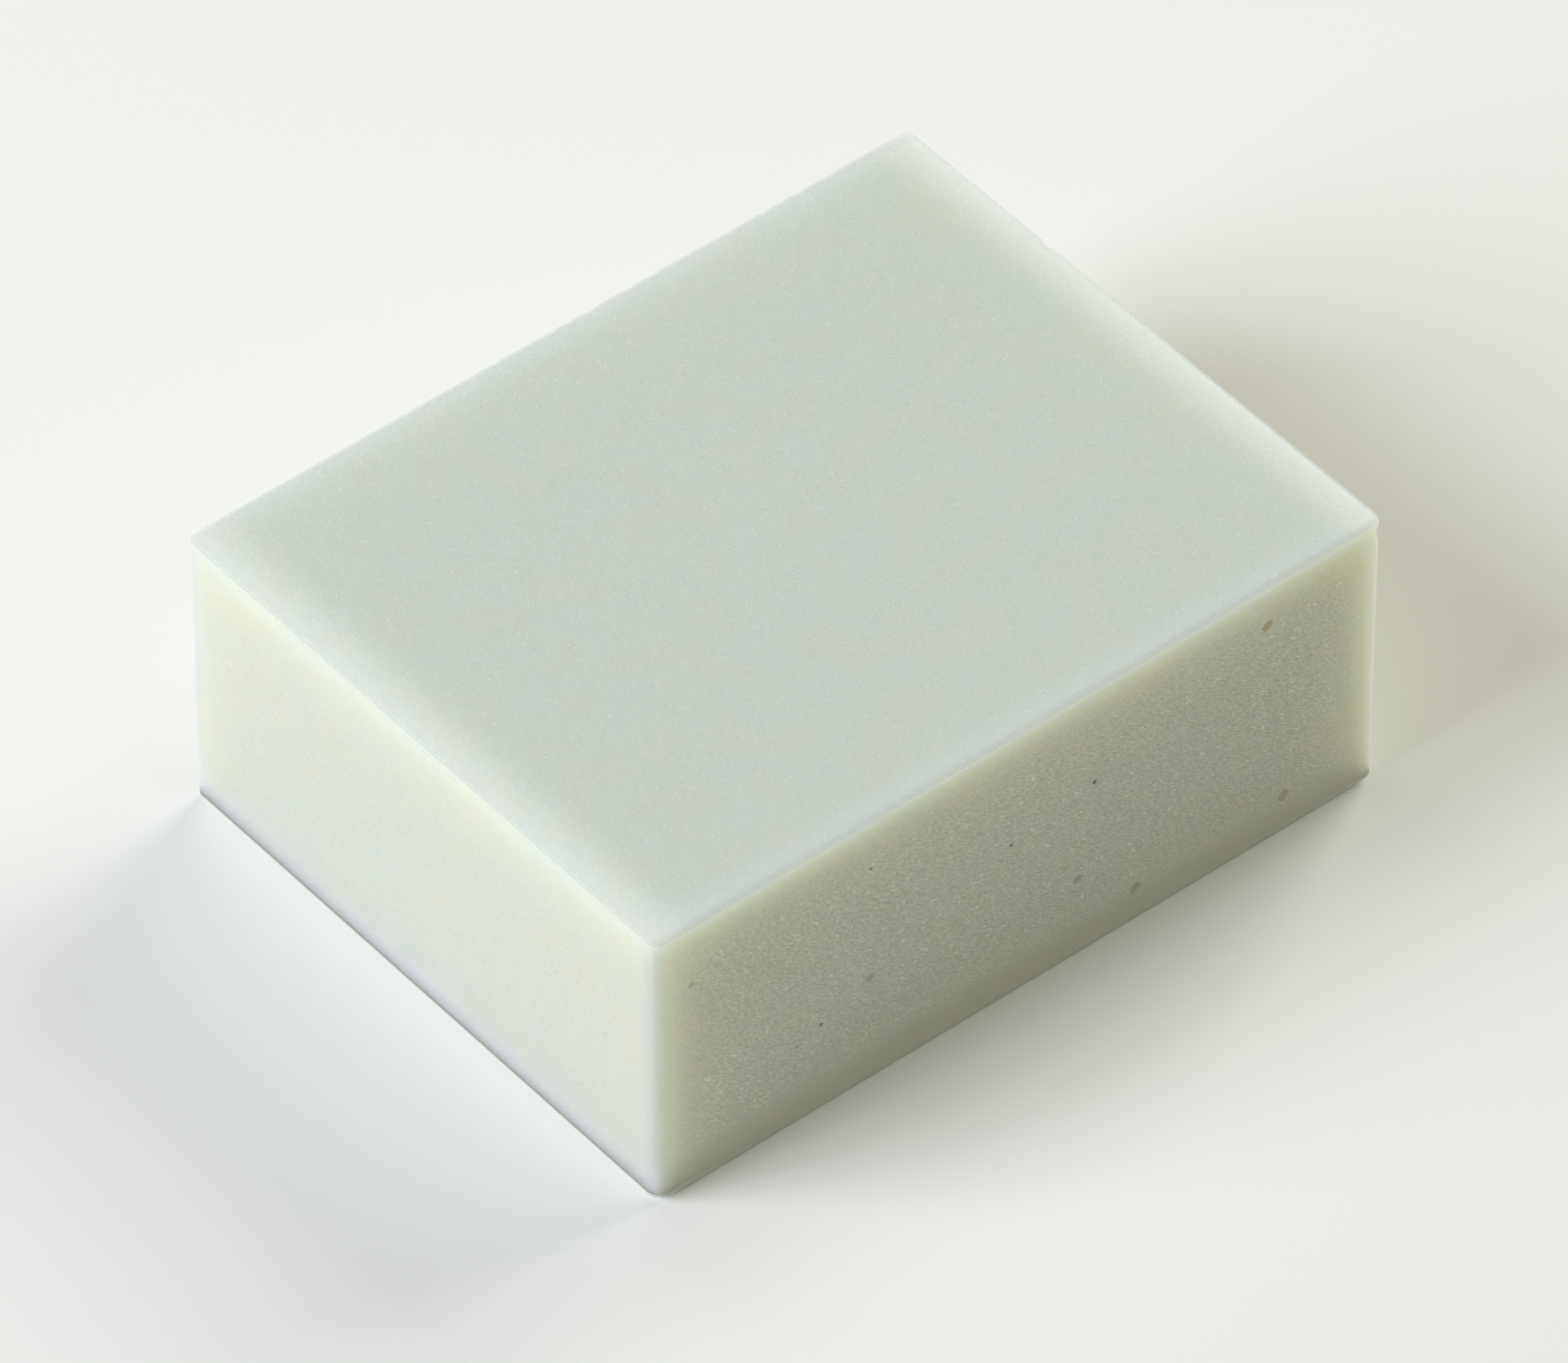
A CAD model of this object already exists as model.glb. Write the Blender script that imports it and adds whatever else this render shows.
# %% [markdown]
# # A nail buffer block
#
# A small block of milky foam for smoothing nails, with an abrasive film glued to its top and its
# underside. It is cut from a big laminated slab, so all its layers end at the same four sides. It
# looks plain, and everything that makes it look real is small: softly rounded edges, light that
# seeps a few millimetres through the foam, open cells on the cut sides and a few nicks.
#
# The measured frame comes first. Every piece below goes where the frame says, in metres.

# %% Load the measured frame
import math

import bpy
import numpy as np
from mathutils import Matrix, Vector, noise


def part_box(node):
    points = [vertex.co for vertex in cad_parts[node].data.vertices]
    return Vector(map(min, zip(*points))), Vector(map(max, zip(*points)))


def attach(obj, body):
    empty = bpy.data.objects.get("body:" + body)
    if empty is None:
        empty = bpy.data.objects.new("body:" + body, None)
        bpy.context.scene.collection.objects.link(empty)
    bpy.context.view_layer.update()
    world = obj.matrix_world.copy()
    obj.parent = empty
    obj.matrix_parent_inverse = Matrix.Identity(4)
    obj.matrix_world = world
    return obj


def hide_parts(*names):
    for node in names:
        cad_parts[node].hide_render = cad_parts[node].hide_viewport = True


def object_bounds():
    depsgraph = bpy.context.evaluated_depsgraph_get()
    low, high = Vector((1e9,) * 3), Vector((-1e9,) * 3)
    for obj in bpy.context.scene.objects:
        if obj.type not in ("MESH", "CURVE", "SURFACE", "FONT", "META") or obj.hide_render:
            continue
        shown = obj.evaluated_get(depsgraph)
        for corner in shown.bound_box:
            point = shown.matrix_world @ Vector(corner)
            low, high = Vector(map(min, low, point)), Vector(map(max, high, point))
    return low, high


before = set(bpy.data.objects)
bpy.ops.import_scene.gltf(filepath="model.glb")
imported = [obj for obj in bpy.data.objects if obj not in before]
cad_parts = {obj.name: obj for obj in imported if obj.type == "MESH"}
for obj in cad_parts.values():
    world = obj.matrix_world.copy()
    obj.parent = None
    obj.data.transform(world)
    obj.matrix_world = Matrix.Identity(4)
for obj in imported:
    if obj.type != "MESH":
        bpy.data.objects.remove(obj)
cad_low, cad_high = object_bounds()

# %% [markdown]
# ## Units and the block's own sizes
#
# Blender works in metres and the block is a few centimetres long, so small sizes are written in
# millimetres and multiplied by `MM`. The layer heights are read from the frame's boxes, which
# keeps the pieces here in step with the design.

MM = 0.001
X, Y, Z = range(3)
half_size = (cad_high - cad_low) / 2
block_centre = (cad_high + cad_low) / 2
CORNER_RADIUS = 0.35 * MM  # of the four upright edges
EDGE_SOFTENING = 0.23 * MM  # around the top face and the underside

for node in sorted(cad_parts):
    low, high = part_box(node)
    print(f"{node:18s} from z {low.z / MM:6.2f} to {high.z / MM:6.2f} mm")

# %% [markdown]
# ## Selecting by hand, in code
#
# Edit-mode operators act on whatever is selected, and loading the frame leaves its nodes
# selected. So each step starts by deselecting everything and picking the one piece it works on.
# Edges are then picked by the direction they run in or the height they lie at.

# %% Helpers for selecting
def work_on(piece):
    """Makes piece the only selected object, in object mode."""
    if bpy.context.mode != "OBJECT":
        bpy.ops.object.mode_set(mode="OBJECT")
    bpy.ops.object.select_all(action="DESELECT")
    piece.select_set(True)
    bpy.context.view_layer.objects.active = piece


def points_of(mesh):
    """The mesh's points as rows of x, y, z."""
    flat = np.empty(len(mesh.vertices) * 3)
    mesh.vertices.foreach_get("co", flat)
    return flat.reshape(-1, 3)


SELECT_MODES = {"edges": (False, True, False), "polygons": (False, False, True)}


def edit_only(piece, part, wanted):
    """Opens edit mode with only the wanted edges or polygons selected."""
    work_on(piece)
    mesh = piece.data
    for kind in (mesh.vertices, mesh.edges, mesh.polygons):
        kind.foreach_set("select", np.zeros(len(kind), bool))
    getattr(mesh, part).foreach_set("select", wanted)
    bpy.context.tool_settings.mesh_select_mode = SELECT_MODES[part]
    bpy.ops.object.mode_set(mode="EDIT")


def edge_ends(mesh):
    """The two end points of every edge."""
    ends = np.empty(len(mesh.edges) * 2, int)
    mesh.edges.foreach_get("vertices", ends)
    return points_of(mesh)[ends.reshape(-1, 2)]


MOSTLY_ALONG = 0.9  # of an edge's run, for the edge to count as running along an axis
LEVEL_WITHIN = 1e-7  # metres, for an edge to count as lying at a height


def cut_across(piece, axis, cuts):
    """Divides every edge that runs along axis, which slices the faces between them."""
    ends = edge_ends(piece.data)
    run = np.abs(ends[:, 1] - ends[:, 0])
    edit_only(piece, "edges", run[:, axis] > MOSTLY_ALONG * run.sum(1))
    bpy.ops.mesh.subdivide(number_cuts=cuts)
    bpy.ops.object.mode_set(mode="OBJECT")


def close_at(piece, height):
    """Fills the open rim that lies level at this height with one flat face."""
    level = np.abs(edge_ends(piece.data)[:, :, Z] - height).max(1) < LEVEL_WITHIN
    edit_only(piece, "edges", level)
    bpy.ops.mesh.edge_face_add()
    bpy.ops.object.mode_set(mode="OBJECT")


# %% [markdown]
# ## A slice of the slab
#
# Every layer starts the same way: a cube at the layer's size, with the faces that no one will see
# taken off, and the rest divided into cells of about an eighth of a millimetre. That is fine
# enough to show a nick or a crumbled edge as real shape. A face hidden between two layers stays
# one flat face, which saves over a million triangles. It is set back by a thousandth of a
# millimetre, because two clear faces in one place make dark streaks in a render.

# %% Cut a slice
LENGTH_CUTS = (15, 15)  # sixteen cells, each divided into sixteen: 33 mm / 256
WIDTH_CUTS = (12, 15)  # thirteen cells, each divided into sixteen: 26 mm / 208
FINE_CELL = 0.13 * MM  # about the size that the cuts give
SHOWN_FACING = {"top": 1, "bottom": -1}  # which way along Z a shown large face points
SET_BACK = 0.001 * MM


def cut_slice(name, node, row_cuts, shown=None):
    """One layer as a closed slice with fine cells on its sides, and on its shown large face."""
    low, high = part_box(node)
    low.x, low.y = cad_low.x, cad_low.y
    high.x, high.y = cad_high.x, cad_high.y
    high.z -= 0 if shown == "top" else SET_BACK
    low.z += 0 if shown == "bottom" else SET_BACK
    bpy.ops.object.select_all(action="DESELECT")
    bpy.ops.mesh.primitive_cube_add(size=1, location=(low + high) / 2)
    piece = bpy.context.object
    piece.name = name
    piece.scale = high - low
    bpy.ops.object.transform_apply(location=True, rotation=False, scale=True)

    facing = np.array([round(face.normal.z) for face in piece.data.polygons])
    hidden = (facing != 0) & (facing != SHOWN_FACING.get(shown, 0))
    edit_only(piece, "polygons", hidden)
    bpy.ops.mesh.delete(type="ONLY_FACE")
    bpy.ops.object.mode_set(mode="OBJECT")

    for cuts in LENGTH_CUTS:
        cut_across(piece, X, cuts)
    for cuts in WIDTH_CUTS:
        cut_across(piece, Y, cuts)
    for cuts in row_cuts:
        cut_across(piece, Z, cuts)
    if shown != "top":
        close_at(piece, high.z)
    if shown != "bottom":
        close_at(piece, low.z)
    return piece


# %% [markdown]
# ## Rounding, nicks and crumbled edges
#
# The rounded outside could be a Bevel on each layer, but a bevel can't run through seven separate
# pieces and stay flush. Instead one rule moves the points of every slice: a point past the start
# of a rounding is drawn in to the arc. All slices obey the same rule, so their sides stay flush.
# The handling marks use the same idea. A nick draws in the points near one spot, and the crumbled
# stretch draws in the back top edge by an uneven amount.

# %% Round a slice like the block
SMALLEST_REACH = 1e-12  # keeps a point right at the start from dividing by nothing


def draw_in_to_arc(across, up):
    """Two offsets past the start of a rounding, drawn in from a square corner to its arc."""
    reach = np.hypot(across, up)
    share = np.maximum(across, up) / np.maximum(reach, SMALLEST_REACH)
    return across * share, up * share


def round_corners(points):
    """Rounds the four upright edges."""
    inner = np.array([half_size.x, half_size.y]) - CORNER_RADIUS
    core = np.clip(points[:, :2], -inner, inner)
    past = points[:, :2] - core
    across, along = draw_in_to_arc(np.abs(past[:, 0]), np.abs(past[:, 1]))
    points[:, :2] = core + np.sign(past) * np.column_stack([across, along])


def soften_rims(points):
    """Rounds the edges around the top face and the underside."""
    inner = np.array([half_size.x, half_size.y]) - CORNER_RADIUS
    core = np.clip(points[:, :2], -inner, inner)
    past = points[:, :2] - core
    reach = np.hypot(past[:, 0], past[:, 1])
    start = CORNER_RADIUS - EDGE_SOFTENING
    across = np.maximum(reach - start, 0)
    height = points[:, Z] - block_centre.z
    up_start = half_size.z - EDGE_SOFTENING
    up = np.maximum(np.abs(height) - up_start, 0)
    both = (across > 0) & (up > 0)
    new_across, new_up = draw_in_to_arc(across[both], up[both])
    outward = past[both] / reach[both][:, None]
    points[both, :2] = core[both] + outward * (start + new_across)[:, None]
    points[both, Z] = block_centre.z + np.sign(height[both]) * (up_start + new_up)


# %% Nicks
# Each nick: where it is in mm, how wide, and how far it is drawn in. A burr stands out instead.
NICKS = [
    ((16.5, 5.2, 13.0), 0.32, 0.14),  # right end of the top face
    ((-16.5, 13.0, 5.9), 0.28, 0.10),  # far left upright edge
    ((-16.4, -12.9, 0.1), 0.40, 0.12),  # near bottom corner
    ((16.5, -13.0, 12.1), 0.45, 0.08),  # just under the right corner
    ((-7.8, -13.0, 13.0), 0.2, -0.1),  # burr on the long front edge
    ((9.1, -13.0, 13.0), 0.25, 0.05),  # two shallow dents in the same edge
    ((-2.4, -13.0, 13.0), 0.30, 0.04),
]
ON_A_SIDE = (16.0, 12.5, 6.0)  # mm from the centre along X, Y and Z: past it, a nick is on that side


def add_nicks(points):
    """Draws in the points around each nick, along the axes of the sides that it is on."""
    for place, width, depth in NICKS:
        spot = Vector(place) * MM
        from_centre = [abs(at - middle / MM) for at, middle in zip(place, block_centre)]
        on_side = Vector([distance > start for distance, start in zip(from_centre, ON_A_SIDE)])
        direction = np.array((block_centre - spot) * on_side)
        direction /= np.linalg.norm(direction)
        away = np.linalg.norm(points - np.array(spot), axis=1) / (width * MM)
        share = np.clip(1 - away**2, 0, 1)
        points += direction * (share * depth * MM)[:, None]


# %% The crumbled edge
CRUMBLED_FROM, CRUMBLED_TO = -1.5 * MM, 14.0 * MM  # along the back top edge
CRUMBLE_RAMP = 8  # how quickly the crumbling grows from both ends of its stretch
CRUMBLE_DEPTH = 0.15 * MM
CRUMBLE_REACH = 0.45 * MM
CRUMB_WIDTH = 1.15 * MM
CRUMB_SWAYS = ((0.45, 0.83), (0.3, 2.9))  # share of a crumb and mm along, so that no two are as wide
CRUMB_SHARPNESS = 1.5
MEAN_CRUMB, CRUMB_SWING = 0.6, 0.4  # of the depth
SWING_LENGTH = 1.7 * MM
SWING_START = 1.0
EACH_WAY = math.sqrt(0.5)  # a slope of 45 degrees: as far inward as down


def crumble_back_edge(points):
    """Scallops of uneven width and depth, deepest in the middle of the stretch."""
    along = points[:, X]
    stretch = (along - CRUMBLED_FROM) / (CRUMBLED_TO - CRUMBLED_FROM)
    strength = np.clip(CRUMBLE_RAMP * stretch * (1 - stretch), 0, 1) * (stretch > 0) * (stretch < 1)
    phase = along / CRUMB_WIDTH
    for share, length in CRUMB_SWAYS:
        phase = phase + share * np.sin(along / (length * MM))
    scallop = 1 - np.abs(np.sin(math.pi * phase))
    uneven = MEAN_CRUMB + CRUMB_SWING * np.sin(along / SWING_LENGTH + SWING_START)
    from_edge = np.hypot(points[:, Y] - cad_high.y, points[:, Z] - cad_high.z)
    near = np.clip(1 - from_edge / CRUMBLE_REACH, 0, 1)
    depth = CRUMBLE_DEPTH * strength * scallop**CRUMB_SHARPNESS * uneven * near
    points[:, Y] -= depth * EACH_WAY
    points[:, Z] -= depth * EACH_WAY


# %% Unevenness along every edge, and all the rules together
EDGE_WAVER = 0.012 * MM
WAVER_LENGTH = 0.9 * MM
WAVER_REACH = 1.5 * EDGE_SOFTENING
WAVER_INWARD = 0.3  # added to the noise, so that an edge is drawn in more often than out


def waver_edges(points):
    """A slight unevenness that a blade and handling leave along every edge."""
    depth_in = np.sort(
        np.array(half_size) - np.abs(points - np.array(block_centre)), axis=1
    )[:, 1]
    for row in np.flatnonzero(depth_in < WAVER_REACH):
        spot = Vector(points[row]) / WAVER_LENGTH
        inward = (block_centre - Vector(points[row])).normalized()
        near = 1 - depth_in[row] / WAVER_REACH
        points[row] += np.array(inward) * (EDGE_WAVER * near * (noise.noise(spot) + WAVER_INWARD))


THINNEST = 0.01 * MM  # what a nick or a crumbled spot leaves above a hidden face


def shape_like_the_block(piece, shown=None):
    """Shapes all the points, but keeps the hidden faces level and every point in its own layer."""
    points = points_of(piece.data)
    heights = points[:, Z].copy()
    at_hidden = (heights == heights.min()) & (shown != "bottom")
    at_hidden |= (heights == heights.max()) & (shown != "top")
    round_corners(points)
    soften_rims(points)
    crumble_back_edge(points)
    add_nicks(points)
    waver_edges(points)
    floor_height = heights.min() + (0 if shown == "bottom" else THINNEST)
    ceiling = heights.max() - (0 if shown == "top" else THINNEST)
    points[:, Z] = np.clip(points[:, Z], floor_height, ceiling)
    points[at_hidden, Z] = heights[at_hidden]
    piece.data.vertices.foreach_set("co", points.ravel())
    piece.data.update()


# %% [markdown]
# ## Finishes
#
# All the layers are a milky, faintly green white. The look rests on subsurface scattering: light
# that goes in at a lit face comes out a few millimetres away, so the shaded side glows along its
# edges. Red and green go furthest and blue least, which is why that glow is warm. The film and
# the grit could be milky too, but a render hardly passes scattered light from one piece to the
# next, so above the foam they are mostly clear and below it they are nearly solid.

# %% Material helpers
def new_material(name):
    """A material with its node tree, its main shader and the object coordinates."""
    material = bpy.data.materials.new(name)
    material.use_nodes = True
    tree = material.node_tree
    shader = tree.nodes["Principled BSDF"]
    place = tree.nodes.new("ShaderNodeTexCoord").outputs["Object"]
    return material, tree, shader, place


def stretched(tree, place, scale, lean=0.0):
    """Coordinates that draw a pattern out by scale, after leaning it over about Y."""
    mapping = tree.nodes.new("ShaderNodeMapping")
    mapping.vector_type = "TEXTURE"
    mapping.inputs["Rotation"].default_value = (0, lean, 0)
    mapping.inputs["Scale"].default_value = scale
    tree.links.new(place, mapping.inputs["Vector"])
    return mapping.outputs["Vector"]


def grain(tree, place, size, detail=2.0, roughness=0.5):
    """Noise whose blobs are about this size across, in metres."""
    node = tree.nodes.new("ShaderNodeTexNoise")
    node.inputs["Scale"].default_value = 1 / size
    node.inputs["Detail"].default_value = detail
    node.inputs["Roughness"].default_value = roughness
    tree.links.new(place, node.inputs["Vector"])
    return node.outputs["Fac"]


def remap(tree, value, low, high, to_low, to_high):
    """Turns the range from low to high into another one, with an eased start and end."""
    node = tree.nodes.new("ShaderNodeMapRange")
    node.interpolation_type = "SMOOTHSTEP"
    for socket, number in zip(("From Min", "From Max", "To Min", "To Max"), (low, high, to_low, to_high)):
        node.inputs[socket].default_value = number
    tree.links.new(value, node.inputs["Value"])
    return node.outputs["Result"]


def blend_colours(tree, share, first, second):
    """Mixes two colours, each an RGB triple or a socket."""
    node = tree.nodes.new("ShaderNodeMix")
    node.data_type = "RGBA"
    tree.links.new(share, node.inputs["Factor"])
    for socket, colour in ((node.inputs[6], first), (node.inputs[7], second)):
        if isinstance(colour, tuple):
            socket.default_value = (*colour, 1)
        else:
            tree.links.new(colour, socket)
    return node.outputs[2]


def blotchy(tree, place, size, first, second):
    """Two tints in soft blotches of about this size."""
    blotches = grain(tree, place, size, detail=3.0, roughness=0.6)
    return blend_colours(tree, remap(tree, blotches, 0.38, 0.62, 0.0, 1.0), first, second)


def bump_from(tree, shader, height, depth):
    """Makes a pattern look raised by this depth, in metres."""
    node = tree.nodes.new("ShaderNodeBump")
    node.inputs["Strength"].default_value = 1.0
    node.inputs["Distance"].default_value = depth
    tree.links.new(height, node.inputs["Height"])
    tree.links.new(node.outputs["Normal"], shader.inputs["Normal"])


# %% Helpers for where on the block a finish changes
def math_node(tree, operation, first, second=0.0):
    """A Math node on two values, each a number or a socket."""
    node = tree.nodes.new("ShaderNodeMath")
    node.operation = operation
    for socket, value in zip(node.inputs, (first, second)):
        if isinstance(value, float):
            socket.default_value = value
        else:
            tree.links.new(value, socket)
    return node.outputs[0]


def depth_inside(tree, place):
    """How far inside the block's box a point is, along X, Y and Z."""
    centred = tree.nodes.new("ShaderNodeVectorMath")
    centred.operation = "SUBTRACT"
    centred.inputs[1].default_value = block_centre
    tree.links.new(place, centred.inputs[0])
    split = tree.nodes.new("ShaderNodeSeparateXYZ")
    tree.links.new(centred.outputs["Vector"], split.inputs["Vector"])
    depths = []
    for axis in (X, Y, Z):
        distance = math_node(tree, "ABSOLUTE", split.outputs[axis])
        depths.append(math_node(tree, "SUBTRACT", half_size[axis], distance))
    return depths


def height_of(tree, place):
    """The height above the table."""
    split = tree.nodes.new("ShaderNodeSeparateXYZ")
    tree.links.new(place, split.inputs["Vector"])
    return split.outputs["Z"]


def near_an_edge(tree, place, reach):
    """1 on the block's edges, fading to 0 at this distance. Near an edge two depths are small."""
    first, second, third = depth_inside(tree, place)
    smaller = math_node(tree, "MINIMUM", first, second)
    larger = math_node(tree, "MAXIMUM", first, second)
    middle = math_node(tree, "MAXIMUM", smaller, math_node(tree, "MINIMUM", larger, third))
    return remap(tree, middle, 0.0, reach, 1.0, 0.0)


# %% Foam
WARM_WHITE = (0.652, 0.66, 0.57)
COOL_WHITE = (0.628, 0.665, 0.59)
CELL_HOLLOW = (0.33, 0.335, 0.26)
CELL_WALL = (0.97, 0.98, 0.90)
GLINT = (1.0, 1.0, 0.95)
HANDLED = (0.36, 0.45, 0.48)  # skin oil and dust on the edges
DUSTY = (0.42, 0.43, 0.35)
PALE_FOOT = (0.86, 0.88, 0.78)
FOAM_BLOTCH = 2.2 * MM
CUT_CELL = 0.085 * MM
CUT_CELL_STRETCH = (2.6, 2.6, 0.9)
GLINT_SIZE = 0.10 * MM
GLINT_STRETCH = (1.7, 1.7, 1.0)
CUT_LEAN = math.radians(32)  # the blade leaves its marks along the long sides at this slope
CELL_DEPTH = 0.012 * MM
CALM_REACH = 3.5 * MM  # from an edge, over which the grain fades
HANDLED_REACH = 0.8 * MM
FOOT_LOW, FOOT_HIGH = 0.3 * MM, 2.2 * MM  # heights that the band near the table fades between
SCATTER_REACH = 6.0 * MM
SCATTER_BY_COLOUR = (1.0, 0.95, 0.6)  # red, green and blue
DULL_SHINE = 0.25


def make_milky(shader):
    """Light goes in, scatters and comes out again nearby."""
    shader.inputs["Subsurface Weight"].default_value = 1.0
    shader.inputs["Subsurface Radius"].default_value = SCATTER_BY_COLOUR
    shader.inputs["Subsurface Scale"].default_value = SCATTER_REACH


def grain_strength(tree, place, from_end, from_cap):
    """Full in the middle of the long sides, weak on the ends and fading towards every edge."""
    off_ends = remap(tree, from_end, 0.15 * MM, 0.6 * MM, 0.15, 0.6)
    off_caps = remap(tree, from_cap, 0.32 * MM, 0.9 * MM, 0.0, 1.0)
    off_edges = remap(tree, near_an_edge(tree, place, CALM_REACH), 0.0, 1.0, 1.0, 0.2)
    return math_node(tree, "MULTIPLY", math_node(tree, "MULTIPLY", off_ends, off_caps), off_edges)


def make_foam():
    material, tree, shader, place = new_material("milky_foam")
    tint = blotchy(tree, place, FOAM_BLOTCH, WARM_WHITE, COOL_WHITE)
    from_end, _, from_cap = depth_inside(tree, place)
    on_sides = grain_strength(tree, place, from_end, from_cap)

    leaning = stretched(tree, place, CUT_CELL_STRETCH, lean=CUT_LEAN)
    cut_cells = grain(tree, leaning, CUT_CELL, detail=2.0, roughness=0.6)
    dark = math_node(tree, "MULTIPLY", remap(tree, cut_cells, 0.30, 0.5, 0.55, 0.0), on_sides)
    shaded = blend_colours(tree, dark, tint, CELL_HOLLOW)
    bright = math_node(tree, "MULTIPLY", remap(tree, cut_cells, 0.5, 0.70, 0.0, 0.6), on_sides)
    lit = blend_colours(tree, bright, shaded, CELL_WALL)

    leaning_glints = stretched(tree, place, GLINT_STRETCH, lean=CUT_LEAN)
    glints = grain(tree, leaning_glints, GLINT_SIZE, detail=0.0)
    glinting = math_node(tree, "MULTIPLY", remap(tree, glints, 0.76, 0.82, 0.0, 1.0), on_sides)
    specked = blend_colours(tree, glinting, lit, GLINT)

    below_cap = remap(tree, from_cap, 0.31 * MM, 0.34 * MM, 0.0, 0.32)
    handled = math_node(tree, "MULTIPLY", near_an_edge(tree, place, HANDLED_REACH), below_cap)
    cooled = blend_colours(tree, handled, specked, HANDLED)

    near_table = remap(tree, height_of(tree, place), FOOT_LOW, FOOT_HIGH, 1.0, 0.0)
    on_long_sides = remap(tree, from_end, 0.3 * MM, 1.0 * MM, 0.0, 0.4)
    dusted = blend_colours(tree, math_node(tree, "MULTIPLY", near_table, on_long_sides), cooled, DUSTY)
    on_ends = remap(tree, from_end, 0.1 * MM, 0.4 * MM, 0.6, 0.0)
    colour = blend_colours(tree, math_node(tree, "MULTIPLY", near_table, on_ends), dusted, PALE_FOOT)
    tree.links.new(colour, shader.inputs["Base Color"])
    tree.links.new(remap(tree, glints, 0.6, 0.75, 0.7, 0.4), shader.inputs["Roughness"])
    shader.inputs["Specular IOR Level"].default_value = DULL_SHINE
    make_milky(shader)
    bump_from(tree, shader, cut_cells, CELL_DEPTH)
    return material


foam = make_foam()
print(foam.name, "has", len(foam.node_tree.nodes), "nodes")

# %% Linings of the open cells
LINING_TINTS = {
    "open": ((0.50, 0.50, 0.41), (0.58, 0.57, 0.47)),
    "stained": ((0.52, 0.50, 0.34), (0.60, 0.58, 0.41)),
    "pin_hole": ((0.20, 0.20, 0.14), (0.30, 0.30, 0.22)),
}
LINING_NAMES = {
    "open": "open_cell_lining",
    "stained": "stained_cell_lining",
    "pin_hole": "pin_hole_lining",
}
MOTTLE_SIZE = 0.1 * MM
LINING_ROUGHNESS = 0.7


def make_cell_lining(kind):
    """The foam's own finish, darker, because less light finds its way into a cell."""
    material, tree, shader, place = new_material(LINING_NAMES[kind])
    colour = blend_colours(tree, grain(tree, place, MOTTLE_SIZE), *LINING_TINTS[kind])
    tree.links.new(colour, shader.inputs["Base Color"])
    shader.inputs["Roughness"].default_value = LINING_ROUGHNESS
    shader.inputs["Specular IOR Level"].default_value = DULL_SHINE
    make_milky(shader)
    return material


CELL_LININGS = {kind: make_cell_lining(kind) for kind in LINING_TINTS}
print("linings:", ", ".join(lining.name for lining in CELL_LININGS.values()))

# %% Grit coat, film and glue
# How solid each layer is, from 0, clear, to 1, and its two tints.
GRIT_SOLIDITY = {"top": 0.3, "bottom": 0.9}
FILM_SOLIDITY = {"top": 0.1, "bottom": 0.9}
GRIT_TINTS = {
    "top": ((0.61, 0.655, 0.60), (0.59, 0.66, 0.625)),
    "bottom": ((0.74, 0.78, 0.69), (0.71, 0.78, 0.71)),
}
FILM_TINTS = {
    "top": ((0.60, 0.65, 0.61), (0.63, 0.67, 0.63)),
    "bottom": ((0.72, 0.75, 0.68), (0.75, 0.78, 0.71)),
}
COOL_EDGE = (0.66, 0.74, 0.75)
COOL_EDGE_REACH = 1.6 * MM
COOL_EDGE_SHARE = 0.8
PALE_END = (0.87, 0.91, 0.91)
WORN_RIM = (0.54, 0.60, 0.61)
GRIT_GLINT = (1.0, 1.0, 0.97)
GRIT_HOLLOW = (0.3, 0.32, 0.28)
GRIT_BLOTCH = 1.8 * MM
GRIT_SIZE = 0.10 * MM
GRIT_STRETCH = (1.6, 1.0, 1.0)
GRIT_HEIGHT = 0.002 * MM
FILM_STREAK = 0.3 * MM
FILM_STRETCH = (3.0, 3.0, 1.0)


def make_grit(side):
    """Fine grains over a tint that turns cooler at the edges and paler towards the two ends."""
    material, tree, shader, place = new_material(f"{side}_grit_coat")
    tint = blotchy(tree, place, GRIT_BLOTCH, *GRIT_TINTS[side])
    at_edge = math_node(tree, "MULTIPLY", near_an_edge(tree, place, COOL_EDGE_REACH), COOL_EDGE_SHARE)
    cooled = blend_colours(tree, at_edge, tint, COOL_EDGE)
    from_end, _, _ = depth_inside(tree, place)
    near_end = remap(tree, from_end, 0.1 * MM, 2.4 * MM, 0.7, 0.0)
    pale = blend_colours(tree, near_end, cooled, PALE_END)
    at_rim = remap(tree, from_end, 0.05 * MM, 0.4 * MM, 0.25, 0.0)
    rim = blend_colours(tree, at_rim, pale, WORN_RIM)

    grains = grain(tree, stretched(tree, place, GRIT_STRETCH), GRIT_SIZE, detail=1.0)
    specked = blend_colours(tree, remap(tree, grains, 0.66, 0.80, 0.0, 0.85), rim, GRIT_GLINT)
    colour = blend_colours(tree, remap(tree, grains, 0.22, 0.38, 0.26, 0.0), specked, GRIT_HOLLOW)
    tree.links.new(colour, shader.inputs["Base Color"])
    tree.links.new(remap(tree, grains, 0.6, 0.75, 0.75, 0.45), shader.inputs["Roughness"])
    shader.inputs["Specular IOR Level"].default_value = DULL_SHINE
    shader.inputs["Alpha"].default_value = GRIT_SOLIDITY[side]
    bump_from(tree, shader, grains, GRIT_HEIGHT)
    return material


def make_film(name, side):
    """A smooth film with faint streaks, drawn out level with the layers."""
    material, tree, shader, place = new_material(f"{side}_{name}")
    streaks = grain(tree, stretched(tree, place, FILM_STRETCH), FILM_STREAK)
    tree.links.new(blend_colours(tree, streaks, *FILM_TINTS[side]), shader.inputs["Base Color"])
    tree.links.new(remap(tree, streaks, 0.3, 0.7, 0.5, 0.65), shader.inputs["Roughness"])
    shader.inputs["Specular IOR Level"].default_value = DULL_SHINE
    shader.inputs["Alpha"].default_value = FILM_SOLIDITY[side]
    return material


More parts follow.
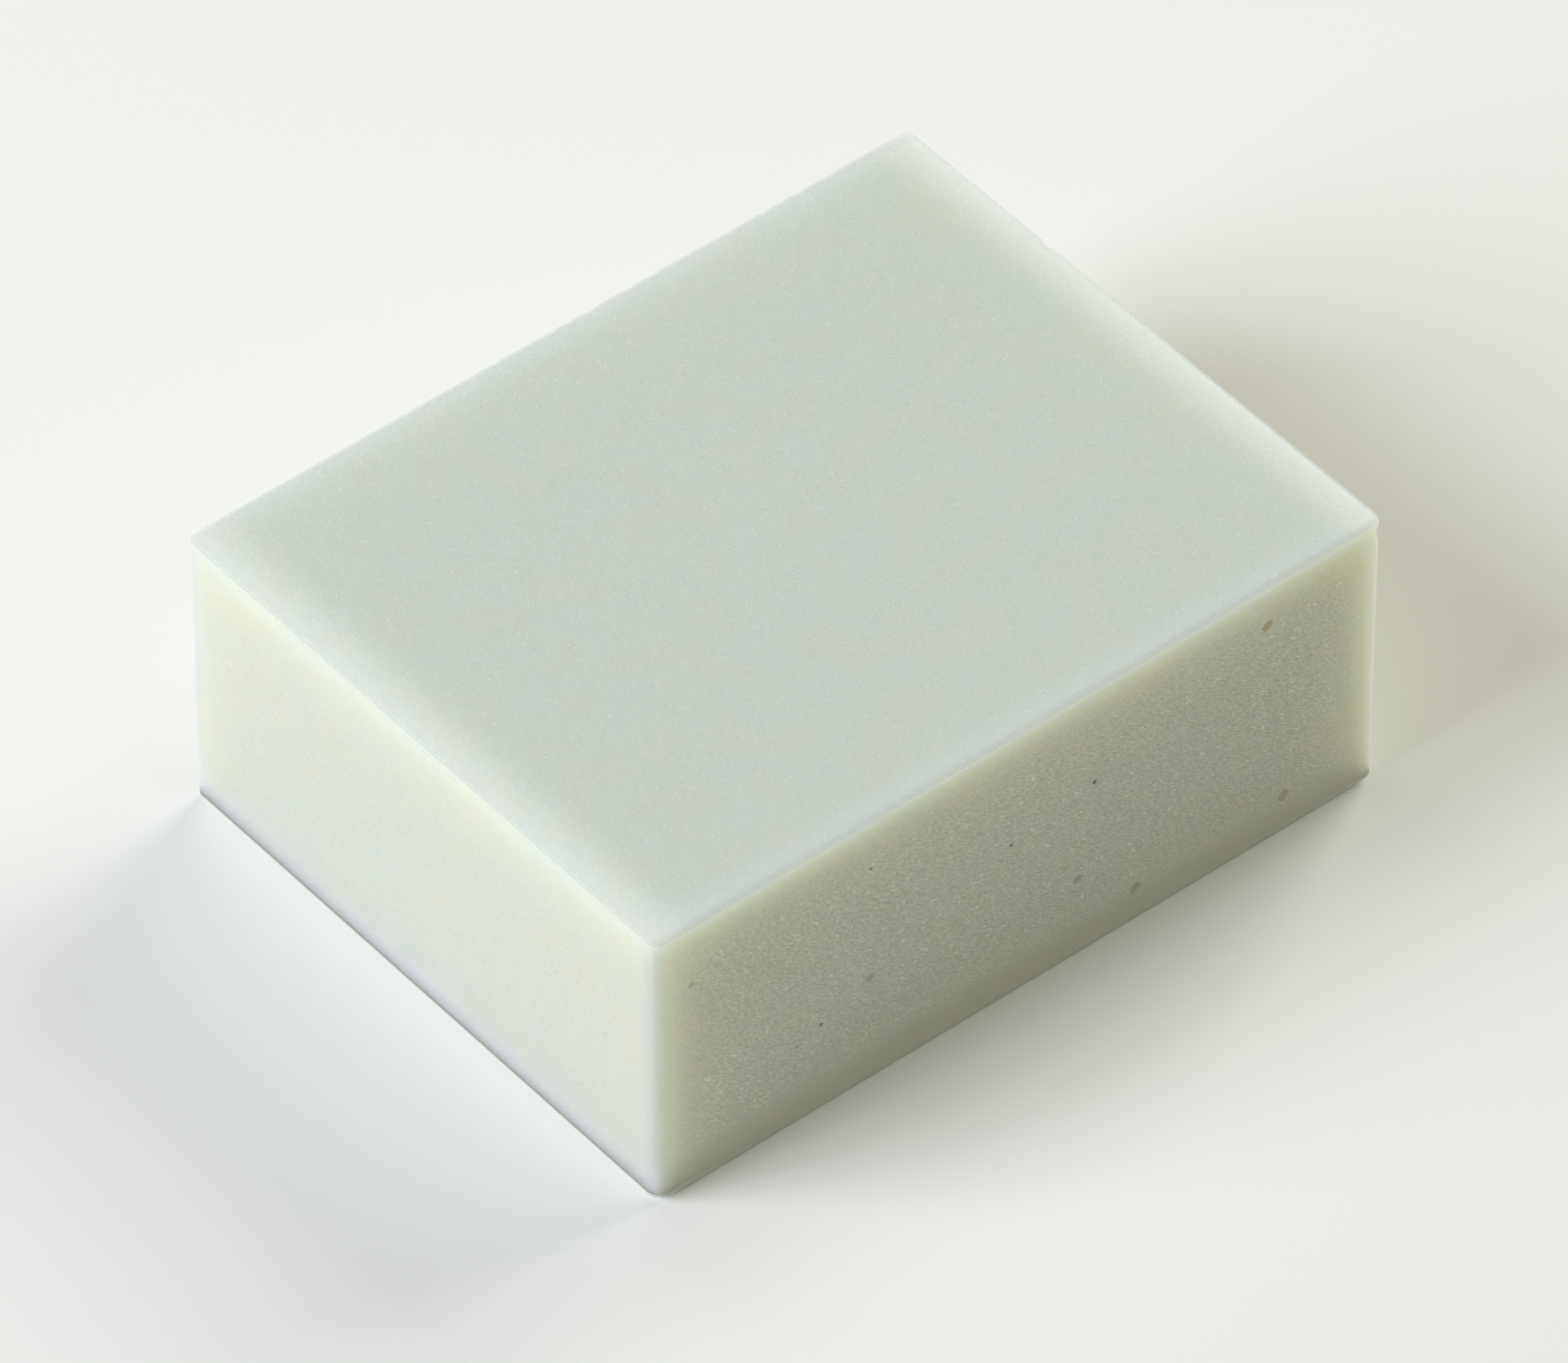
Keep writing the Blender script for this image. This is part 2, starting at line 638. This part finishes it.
# %% [markdown]
# ## The foam core
#
# The core is a slice like the others, 12.4 mm high. A Displace modifier makes its cut sides
# slightly uneven, and the open cells are cut out with a Boolean, as a cell is when a blade goes
# through it: each cutter is a small flattened ball. Its own lining material goes with it.

# %% Foam core with uneven sides
UNEVENNESS = 0.006 * MM
UNEVEN_SIZE = 0.6 * MM
FADE_STEPS = (0.34, 0.67, 1.0)  # shares of the fade, and of the unevenness that each lets in
FADE_REACH = 2 * FINE_CELL


def roughen_sides(piece, depth, size):
    """Displaces the points on the four sides a little, fading out at the layer's rims."""
    texture = bpy.data.textures.new(f"{piece.name}_unevenness", "CLOUDS")
    texture.noise_scale = size
    texture.noise_depth = 1
    group = piece.vertex_groups.new(name="sides")
    points = points_of(piece.data)
    from_rim = np.minimum(points[:, Z] - points[:, Z].min(), points[:, Z].max() - points[:, Z])
    for share in FADE_STEPS:
        rows = np.flatnonzero(from_rim > share * FADE_REACH)
        group.add(rows.tolist(), share, "REPLACE")
    modifier = piece.modifiers.new("unevenness", "DISPLACE")
    modifier.texture = texture
    modifier.texture_coords = "LOCAL"
    modifier.vertex_group = "sides"
    modifier.strength = depth
    work_on(piece)
    bpy.ops.object.modifier_apply(modifier=modifier.name)


core = cut_slice("foam_body", "foam_core", row_cuts=(5, 15))
shape_like_the_block(core)
roughen_sides(core, UNEVENNESS, UNEVEN_SIZE)
for material in (foam, *CELL_LININGS.values()):
    core.data.materials.append(material)
print("foam core", len(core.data.polygons), "faces")

# %% Open cells on the cut sides
# Along the length and up the height in mm, on the long front side, then the cell's width and kind.
FRONT_CELLS = [
    (11.2, 10.9, 0.52, "stained"),
    (12.2, 1.8, 0.54, "open"),
    (2.6, 3.8, 0.46, "open"),
    (5.3, 1.6, 0.54, "open"),
    (-6.9, 5.1, 0.38, "open"),
    (-14.9, 10.0, 0.28, "open"),
    (3.3, 8.2, 0.20, "pin_hole"),
    (-9.1, 4.2, 0.17, "pin_hole"),
    (-10.2, 3.8, 0.18, "open"),
    (-6.9, 10.5, 0.13, "pin_hole"),
    (-0.5, 7.5, 0.15, "pin_hole"),
]
BACK_CELL_COUNT = 7
END_CELL_COUNT = 2
CELL_SHAPE = (1.0, 0.36, 0.9)  # times its width: a cell is flat along Y
CELL_TURN = 0.5  # radians about Y
CUTTER_SEGMENTS, CUTTER_RINGS = 14, 9
CELL_SEED = 7  # places the cells on the back and the ends


def add_cell_cutter(place, width, kind):
    """A small flattened ball that a Boolean takes out of the foam."""
    bpy.ops.object.select_all(action="DESELECT")
    bpy.ops.mesh.primitive_uv_sphere_add(
        segments=CUTTER_SEGMENTS, ring_count=CUTTER_RINGS, radius=0.5, location=place
    )
    ball = bpy.context.object
    ball.scale = [width * share for share in CELL_SHAPE]
    ball.rotation_euler = (0, -CELL_TURN, 0)
    bpy.ops.object.transform_apply(location=True, rotation=True, scale=True)
    ball.data.materials.append(CELL_LININGS[kind])
    return ball


def all_cells():
    """The front's cells, then cells at random on the back and the two ends. Places are in metres."""
    rng = np.random.default_rng(CELL_SEED)
    cells = [((x * MM, cad_low.y, z * MM), width * MM, kind) for x, z, width, kind in FRONT_CELLS]
    for _ in range(BACK_CELL_COUNT):
        x, z = rng.uniform(-15.5, 15.5), rng.uniform(1.2, 11.8)
        cells.append(((x * MM, cad_high.y, z * MM), rng.uniform(0.25, 0.45) * MM, "open"))
    for end in (cad_low.x, cad_high.x):
        for _ in range(END_CELL_COUNT):
            y, z = rng.uniform(-11, 11), rng.uniform(1.5, 11)
            cells.append(((end, y * MM, z * MM), rng.uniform(0.12, 0.2) * MM, "open"))
    return cells


cutters = [add_cell_cutter(*cell) for cell in all_cells()]
bpy.ops.object.select_all(action="DESELECT")
for cutter in cutters:
    cutter.select_set(True)
bpy.context.view_layer.objects.active = cutters[0]
bpy.ops.object.join()
cell_cutter = bpy.context.object

opening = core.modifiers.new("open_cells", "BOOLEAN")
opening.operation = "DIFFERENCE"
opening.solver = "EXACT"
opening.object = cell_cutter
opening.material_mode = "TRANSFER"
work_on(core)
bpy.ops.object.modifier_apply(modifier=opening.name)
bpy.data.objects.remove(cell_cutter)
print("foam core with open cells", len(core.data.polygons), "faces, materials", len(core.data.materials))

# %% Smooth and place the foam core
SMOOTH_UP_TO = math.radians(40)


def finish_piece(piece, node):
    """Shades a piece smooth and says what it rides on, which node it stands for."""
    work_on(piece)
    bpy.ops.object.shade_smooth_by_angle(angle=SMOOTH_UP_TO)
    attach(piece, "root")
    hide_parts(node)
    low, high = (Vector(piece.bound_box[0]), Vector(piece.bound_box[6]))
    print(piece.name, [round(side / MM, 3) for side in high - low], "mm")


finish_piece(core, "foam_core")

# %% [markdown]
# ## The glue, the film and the grit
#
# The three thin layers are slices too, with the same shapes above and below and each side's own
# finishes. Only the grit shows a large face, so only the grit gets fine cells there. None of them
# casts a shadow, so that the foam next to them keeps its light.

# %% Thin layers above and below
for side in ("top", "bottom"):
    glue = make_film("glue_film", side)
    film = make_film("clear_film", side)
    grit = make_grit(side)
    # Each layer's name, node, slot, finish, row cuts and shown face.
    thin_layers = [
        (f"{side}_glue", f"{side}_adhesive", "adhesive", glue, (), None),
        (f"{side}_film", f"{side}_backing", "backing", film, (1,), None),
        (f"{side}_grit", f"{side}_grit_coat", "grit_coat", grit, (2,), side),
    ]
    for name, node, slot, material, row_cuts, shown in thin_layers:
        layer = cut_slice(name, node, row_cuts, shown)
        shape_like_the_block(layer, shown)
        layer.data.materials.append(material)
        layer.visible_shadow = False
        finish_piece(layer, node)

# %% [markdown]
# ## Camera
#
# The block is seen from above its near corner with a long lens from over half a metre away, so
# parallel edges stay nearly parallel.

# %% Camera
LENS_MM = 351.6
DISTANCE = 0.5418
AZIMUTH, ELEVATION = math.radians(-39.54), math.radians(44.93)
AIM_RIGHT, AIM_UP = -0.03 * MM, -0.88 * MM  # from the block's centre, across the picture

back = Vector((
    math.sin(AZIMUTH) * math.cos(ELEVATION),
    -math.cos(AZIMUTH) * math.cos(ELEVATION),
    math.sin(ELEVATION),
))
right = Vector((0, 0, 1)).cross(back).normalized()
up = back.cross(right)
aim = block_centre + right * AIM_RIGHT + up * AIM_UP
bpy.ops.object.camera_add(location=aim + back * DISTANCE)
camera = bpy.context.object
camera.name = "camera"
camera.data.lens = LENS_MM
camera.data.sensor_width = 36.0
camera.data.clip_start = 0.01
camera.data.clip_end = 10.0
camera.rotation_mode = "QUATERNION"
camera.rotation_quaternion = back.to_track_quat("Z", "Y")
bpy.context.scene.camera = camera
print("camera at", [round(c, 4) for c in camera.location])

# %% [markdown]
# ## Floor and lights
#
# Two soft boxes stand high off the block's short ends, so the ends are brightest, the top is even
# and the long front side is left in soft shade. A third, weak one lies under the table, which
# lets its light through. It stands in for the light that a pale film and a pale table send back
# up into the foam, most of which a render loses between the pieces.

# %% Floor
FLOOR_GAP = 0.005 * MM  # keeps the floor and the underside from lying in one place
FLOOR_WIDTH = 6.0
PAPER_WHITE = (0.90, 0.90, 0.89, 1.0)
PAPER_ROUGHNESS = 0.9

bpy.ops.object.select_all(action="DESELECT")
bpy.ops.mesh.primitive_plane_add(size=FLOOR_WIDTH, location=(0, 0, cad_low.z - FLOOR_GAP))
floor = bpy.context.object
floor.name = "floor"
floor.visible_shadow = False  # lets the lamp under the table through
paper, _, paper_shader, _ = new_material("pale_paper")
paper_shader.inputs["Base Color"].default_value = PAPER_WHITE
paper_shader.inputs["Roughness"].default_value = PAPER_ROUGHNESS
floor.data.materials.append(paper)

# %% Lights
# Each box's name, its direction from the block, its distance and width in metres, its power in
# watts and its colour.
SOFT_BOXES = [
    ("left_end_box", (-1.0, 0.3, 0.75), 0.45, 0.3, 2.0, (0.893, 0.931, 1.0)),
    ("right_end_box", (1.0, 0.1, 0.75), 0.45, 0.3, 1.28, (1.0, 0.995, 0.905)),
    ("under_table_box", (0.0, 0.0, -1.0), 0.25, 0.08, 0.08, (1.0, 0.97, 0.75)),
]
SURROUNDINGS_COLOUR = (0.98, 0.94, 0.67, 1.0)
SURROUNDINGS_STRENGTH = 0.148


def add_soft_box(name, direction, distance, size, power, colour):
    """A square light that faces the block from this direction."""
    towards = Vector(direction).normalized()
    bpy.ops.object.light_add(type="AREA", location=block_centre + towards * distance)
    box = bpy.context.object
    box.name = name
    box.rotation_mode = "QUATERNION"
    box.rotation_quaternion = towards.to_track_quat("Z", "Y")
    box.data.size = size
    box.data.energy = power
    box.data.color = colour
    print(name, "at", [round(c, 3) for c in box.location])


for soft_box in SOFT_BOXES:
    add_soft_box(*soft_box)

world = bpy.data.worlds.new("studio")
bpy.context.scene.world = world
world.use_nodes = True
surroundings = world.node_tree.nodes["Background"]
surroundings.inputs["Color"].default_value = SURROUNDINGS_COLOUR
surroundings.inputs["Strength"].default_value = SURROUNDINGS_STRENGTH
bpy.context.scene.view_settings.view_transform = "Standard"
